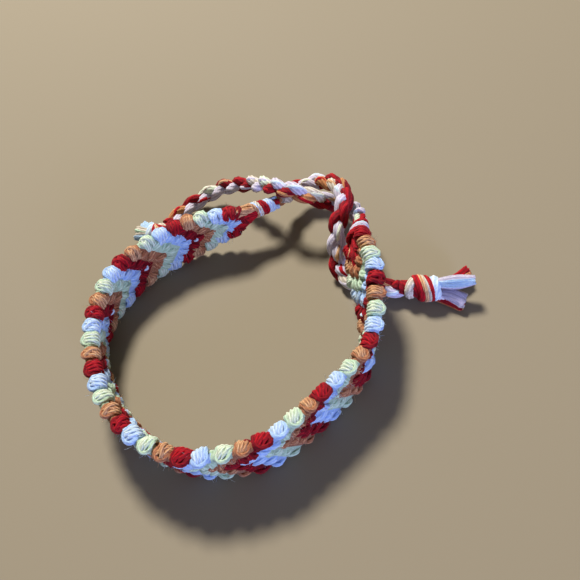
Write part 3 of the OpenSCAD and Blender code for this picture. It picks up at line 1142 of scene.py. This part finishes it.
def gather_threads(name, station, neck, settings, band, threads):
    """Threads that run together from the band's outermost row to its neck.

    threads has a row for each: place across the band, the face it is on, and yarn.
    """
    first, second = Vector(neck[0]) * MM, Vector(neck[1]) * MM
    heading = (second - first).normalized()
    side = heading.cross(UP).normalized()
    top = side.cross(heading)
    strands = Strands()
    root = station + (1.0 if station == 0 else -1.0)
    half_depth = (band.thickness - settings.string) * 0.42
    gathered = settings.neck_width * 0.3
    thickness = (0.8, 0.9, 0.9, 0.85, 0.7)
    for i, (place, face, yarn) in enumerate(threads):
        start, _, out, _ = band_point(band, station, place, face * half_depth)
        deep = band_point(band, root, place, face * half_depth * 0.6)[0]
        flank = 1.0 if out.dot(side) > 0 else -1.0
        angle = math.atan2(place, face * flank * 0.6)
        ring = (side * math.cos(angle) + top * math.sin(angle)) * gathered
        middle = start.lerp(first + ring * 1.15, 0.55)
        path = (deep, start, middle, first + ring, second + ring * 0.9)
        strands.add(path, thickness, yarn, shade=0.35 + 0.1 * (i % 5))
    piece = strands.grow(name, settings.string, step=0.3 * MM, plies=5, ply_depth=0.16, twist=9 * MM)
    dress(piece, "knotted_floss")


class BRACELET_OT_stoppers(bpy.types.Operator):
    """Ties the stopper knot on each tail."""

    bl_idname = "bracelet.stoppers"
    bl_label = "Stopper knots"

    def execute(self, context):
        settings = context.scene.bracelet_tails
        tie_stopper("start_stopper", "start_knot", START_KNOT, settings)
        tie_stopper("end_stopper", "end_knot", END_KNOT, settings)
        return {"FINISHED"}


def tie_stopper(name, node, knot, settings):
    """Fat slanting turns of string round a core that is fullest in its middle."""
    line = smooth_line(knot, 0.1 * MM)
    frames = travelling_frames(line)
    strands = Strands()
    last = len(line) - 1
    end_size, swell = 0.54, 0.2
    core = [
        settings.knot_width * (end_size + swell * math.sin(math.pi * i / last)) / settings.string
        for i in range(len(line))
    ]
    before = line[0] - frames[0][1] * MM
    strands.add([before, *line], [core[0], *core], "crimson", shade=0.1)
    for turn, (share, fullness, thickness, lean, yarn) in enumerate(STOPPER_TURNS):
        at = round(share * last)
        _, heading, side, top = frames[at]
        radius = (settings.knot_width * fullness - settings.string * thickness) / 2
        path = ring_path(line[at], heading, side, top, radius, lean * MM)
        strands.add(path, thickness, yarn, shade=0.35 + 0.1 * (turn % 3))
    piece = strands.grow(
        name, settings.string, step=0.32 * MM, sides=21, plies=7, ply_depth=0.12, twist=16 * MM,
    )
    dress(piece, "braided_floss", node)


class BRACELET_OT_fringes(bpy.types.Operator):
    """Spreads the cut ends of the floss behind each knot."""

    bl_idname = "bracelet.fringes"
    bl_label = "Cut fringes"

    def execute(self, context):
        settings = context.scene.bracelet_tails
        cut_fringe("start_cut_ends", "start_fringe", START_KNOT, START_LOCKS, settings, seed=3)
        cut_fringe("end_cut_ends", "end_fringe", END_KNOT, END_LOCKS, settings, seed=4)
        return {"FINISHED"}


# Turn from one strand of a lock to the next, share of them on the lock's outside, and
# places of the thick strands across it
GOLDEN_SHARE = 0.618
OUTER_SHARE = 0.6
FILLING_PLACES = (-0.55, 0.0, 0.55)


def lock_line(start, bend, end, puff):
    """A soft curve from start to end, drawn to bend and swollen by puff."""
    curve = []
    steps = 6
    for i in range(steps + 1):
        part = i / steps
        point = start.lerp(bend, part).lerp(bend.lerp(end, part), part)
        point += puff * math.sin(math.pi * part)
        point.z = max(point.z, 0.14 * MM)
        curve.append(point)
    return curve


def cut_fringe(name, node, knot, locks, settings, seed):
    """Brushes of fine strands from the knot's end to the blunt tip of each lock.

    Three thick strands fill a lock, and fine ones lie round and among them.
    """
    dice = random.Random(seed)
    last, before = Vector(knot[-1]) * MM, Vector(knot[-2]) * MM
    heading = (last - before).normalized()
    root = last - heading * 0.6 * MM
    root_size, uneven_cut = 0.65, 0.8 * MM
    strands = Strands()
    for x, y, z, half_width, half_height, sunk, yarns in locks:
        tip = Vector((x, y, z)) * MM
        spread = (tip - root) - heading * (tip - root).dot(heading)
        lock_root = root + spread * 0.3 - UP * sunk * MM
        along = (tip - lock_root).normalized()
        side = along.cross(UP).normalized()
        top = side.cross(along)
        leave = lock_root + heading * (tip - lock_root).length * 0.5
        blunt_tip = tip - along * 0.3 * MM
        thick = half_height * 1.3 * MM / settings.fine_strand
        for share in FILLING_PLACES:
            offset = side * half_width * share * MM
            filling = lock_line(lock_root + offset, leave + offset, blunt_tip + offset, Vector())
            strands.add(filling, thick, yarns[0], 0.5)
        count = settings.lock_strands
        for s in range(count):
            angle = math.tau * (s * GOLDEN_SHARE % 1)
            out = 1.0 if s < count * OUTER_SHARE else dice.random() ** 0.5
            around = side * math.cos(angle) * out * MM
            over = top * math.sin(angle) * out * MM
            offset = (around + over) * root_size
            end = tip + around * half_width + over * half_height
            end -= along * dice.uniform(0, uneven_cut)
            puff = (around + over) * dice.uniform(0.3, 0.5)
            yarn = yarns[int(angle / math.tau * len(yarns))]
            line = lock_line(lock_root + offset, leave + offset, end, puff)
            strands.add(line, dice.uniform(0.9, 1.2), yarn, 1.1 * dice.random() - 0.7)
    piece = strands.grow(
        name, settings.fine_strand, step=0.7 * MM, sides=6, plies=1, ply_depth=0.0, twist=9 * MM,
    )
    dress(piece, "cut_floss", node)


class BRACELET_OT_band(bpy.types.Operator):
    """Knots the band: a core, the knots of each colour and the stray fibres."""

    bl_idname = "bracelet.band"
    bl_label = "Knotted band"

    def execute(self, context):
        settings = context.scene.bracelet_band
        core = add_core(settings)
        add_knots(settings)
        add_crossings(settings)
        add_fuzz(settings, core)
        return {"FINISHED"}


def add_core(settings):
    """The passive threads inside the knots, seen only in the grooves, coloured dark as painted shade.
    """
    half, bulge = settings.thickness * 0.28, 0.4 * MM
    across = [column / HALF_ROW for column in range(-HALF_ROW, HALF_ROW + 1)]
    profile = [(place, 1, 0) for place in across] + [(1, 0, 1)]
    profile += [(-place, -1, 0) for place in across] + [(-1, 0, -1)]
    rings = 4
    stations = [i / rings for i in range((settings.rows - 1) * rings + 1)]
    points = []
    for station in stations:
        for place, side, reach in profile:
            points.append(band_point(settings, station, place, side * half, reach * bulge)[0])
    sides = len(profile)
    faces = []
    yarn_of_face = []
    for r in range(len(stations) - 1):
        row = math.floor(stations[r] + 0.5)
        for s in range(sides):
            near, far = r * sides, (r + 1) * sides
            faces.append((near + s, near + (s + 1) % sides, far + (s + 1) % sides, far + s))
            yarn_of_face.append(row % len(ROW_YARNS))
    for ring, order in ((0, -1), (len(stations) - 1, 1)):
        faces.append(tuple(ring * sides + s for s in range(sides))[::order])
        yarn_of_face.append(0)
    mesh = bpy.data.meshes.new("band_core")
    mesh.from_pydata(points, [], faces)
    for yarn in ROW_YARNS:
        mesh.materials.append(floss_material(yarn))
    mesh.polygons.foreach_set("material_index", yarn_of_face)
    mesh.polygons.foreach_set("use_smooth", [True] * len(faces))
    # Painted shade: the core takes the darker tone (shade 0) and mostly the groove tone (crest 0.3)
    keep_values(mesh, "shade", "FLOAT", [0.0] * len(points))
    keep_values(mesh, "crest", "FLOAT", [0.3] * len(points))
    keep_values(mesh, "fibre", "FLOAT_VECTOR", [c / MM for point in points for c in point])
    core = add_object("band_core", mesh)
    dress(core, "knotted_floss", "band")
    return core


# Rows where the near side's shares come in, are full, begin to fade and are gone
NEAR_ROWS = (20, 28, 38, 41)


def knot_share(shares, colour, row):
    """Share of the row pitch that a knot takes, which changes towards the near side."""
    start, full, fading, end = NEAR_ROWS
    coming, going = (row - start) / (full - start), (end - row) / (end - fading)
    near = min(1.0, max(0.0, coming), max(0.0, going))
    return shares[0][colour] * (1 - near) + shares[1][colour] * near


def edge_knot(dice, colour, row, column, upward, narrow):
    """Axis, kind, spin and size of a round knot at the band's edge."""
    axis = upward * math.copysign(1, column)
    kind = dice.choice(EDGE_DRAW)
    spin = dice.gauss(0, 0.22)
    wide = knot_share(EDGE_SHARES, colour, row) * dice.uniform(0.97, 1.05)
    return axis, kind, spin, (wide, dice.uniform(0.98, 1.08), max(narrow, 0.85))


def face_knot(settings, dice, colour, row, place, upward, outward, narrow):
    """The same for a knot on the band's face, which lies along its arm of the chevron."""
    above = band_point(settings, row, place + SMALL_STEP)[0]
    below = band_point(settings, row, place - SMALL_STEP)[0]
    axis = (above - below).normalized().lerp(upward, 0.2).normalized()
    kind = dice.choice(FACE_DRAW)
    spin = dice.choice((0, math.pi)) + dice.gauss(0, 0.15)
    axis = (axis + outward.cross(axis) * dice.gauss(0, 0.13)).normalized()
    wide = knot_share(FACE_SHARES, colour, row)
    return axis, kind, spin, (wide * dice.uniform(0.93, 1.1), dice.uniform(0.9, 1.08), narrow)


def add_knots(settings):
    """Seven knots across each row, one piece for each colour."""
    shapes = knot_shapes(settings)
    dice = random.Random(PLACE_SEED)
    for colour, yarn in enumerate(ROW_YARNS):
        places, turns, sizes, kinds = [], [], [], []
        for row in range(colour, settings.rows, len(ROW_YARNS)):
            for column in range(-HALF_ROW, HALF_ROW + 1):
                place = column / HALF_ROW
                at_edge = abs(column) == HALF_ROW
                slip = 0.05 if at_edge else 0.11
                station = row + dice.uniform(-slip, slip)
                centre, upward, outward, share = band_point(settings, station, place)
                narrow = 0.55 + 0.45 * share
                if at_edge:
                    made = edge_knot(dice, colour, row, column, upward, narrow)
                else:
                    made = face_knot(settings, dice, colour, row, place, upward, outward, narrow)
                axis, kind, spin, size = made
                along = outward.cross(axis).normalized()
                outward = axis.cross(along)
                turn = Matrix((along, outward, axis)).transposed() @ Matrix.Rotation(spin, 3, "Z")
                places.append(centre)
                turns.extend(turn.to_euler())
                sizes.extend(size)
                kinds.append(KNOT_KINDS.index(kind))
        mesh = bpy.data.meshes.new("knots")
        mesh.from_pydata(places, [], [])
        keep_values(mesh, "turn", "FLOAT_VECTOR", turns)
        keep_values(mesh, "size", "FLOAT_VECTOR", sizes)
        keep_values(mesh, "kind", "INT", kinds)
        knots = add_object("band_" + yarn + "_knots", mesh)
        grown(knots, knots_tree(), {
            **shapes, "Unevenness": settings.jitter,
            "Seed": KNOT_SEED + colour, "Floss": floss_material(yarn),
        })
        dress(knots, "knotted_floss", "band")
    for shape in shapes.values():
        bpy.data.objects.remove(shape)


def add_crossings(settings):
    """The pale thread that shows inside where the two halves of a crimson row cross."""
    strands = Strands()
    inside = 0.06 * MM - settings.thickness / 2
    sunk = inside + 0.4 * MM
    for row in range(len(ROW_YARNS), settings.rows - 1, len(ROW_YARNS)):
        first = band_point(settings, row - 0.1, 0.07, sunk)[0]
        middle = band_point(settings, row + 0.05, 0.0, inside)[0]
        last = band_point(settings, row + 0.2, -0.07, sunk)[0]
        strands.add([first, middle, last], [0.4, 0.62, 0.4], "white", shade=0.8)
    piece = strands.grow("band_crossings", settings.strand, step=0.2 * MM, plies=4)
    dress(piece, "knotted_floss", "band")


def add_fuzz(settings, core):
    """Stray fibres that stand off the knots."""
    bend = ((0, 0, 0.3), (0.07, 0, 0.6), (0.22, 0.05, 0.83), (0.48, 0.05, 1.0))
    strands = Strands()
    strands.add([Vector(point) * settings.fuzz_length for point in bend], 1.0, "white")
    fibre = strands.grow(
        "fibre", settings.fuzz_width, step=0.5 * MM, sides=3, plies=1, ply_depth=0.0,
    )
    for colour, yarn in enumerate(ROW_YARNS):
        mesh = core.data.copy()
        keep_faces(mesh, [p.material_index == colour for p in mesh.polygons])
        fuzz = add_object("band_" + yarn + "_fuzz", mesh)
        grown(fuzz, fuzz_tree(), {
            "Fibre": fibre, "Density": settings.fuzz_density,
            "Seed": FUZZ_SEED + colour, "Floss": floss_material(yarn),
        })
        dress(fuzz, "knotted_floss")
    bpy.data.objects.remove(fibre)


def keep_faces(mesh, keep):
    """Keeps only some faces of a mesh; keep has a true or false for each."""
    points = [v.co.copy() for v in mesh.vertices]
    faces = [tuple(p.vertices) for p, kept in zip(mesh.polygons, keep) if kept]
    mesh.clear_geometry()
    mesh.from_pydata(points, [], faces)


class BRACELET_PT_panel(bpy.types.Panel):
    """Lists the bracelet's pieces."""

    bl_idname = "BRACELET_PT_panel"
    bl_label = "Knotted bracelet"
    bl_space_type = "VIEW_3D"
    bl_region_type = "UI"
    bl_category = "Bracelet"

    def draw(self, context):
        for operator in OPERATORS:
            self.layout.operator(operator.bl_idname)


OPERATORS = (
    BRACELET_OT_stage, BRACELET_OT_tails, BRACELET_OT_necks, BRACELET_OT_stoppers,
    BRACELET_OT_fringes, BRACELET_OT_band,
)
CLASSES = (BandSettings, TailSettings, StageSettings, *OPERATORS, BRACELET_PT_panel)


def register():
    """Registers the settings, the operators and the panel."""
    for kind in CLASSES:
        bpy.utils.register_class(kind)
    bpy.types.Scene.bracelet_band = bpy.props.PointerProperty(type=BandSettings)
    bpy.types.Scene.bracelet_tails = bpy.props.PointerProperty(type=TailSettings)
    bpy.types.Scene.bracelet_stage = bpy.props.PointerProperty(type=StageSettings)


def unregister():
    """Removes what register added."""
    del bpy.types.Scene.bracelet_stage
    del bpy.types.Scene.bracelet_tails
    del bpy.types.Scene.bracelet_band
    for kind in reversed(CLASSES):
        bpy.utils.unregister_class(kind)


def main():
    """Builds every piece in order."""
    register()
    bpy.ops.bracelet.stage()
    bpy.ops.bracelet.tails()
    bpy.ops.bracelet.necks()
    bpy.ops.bracelet.stoppers()
    bpy.ops.bracelet.fringes()
    bpy.ops.bracelet.band()


if __name__ == "__main__":
    main()
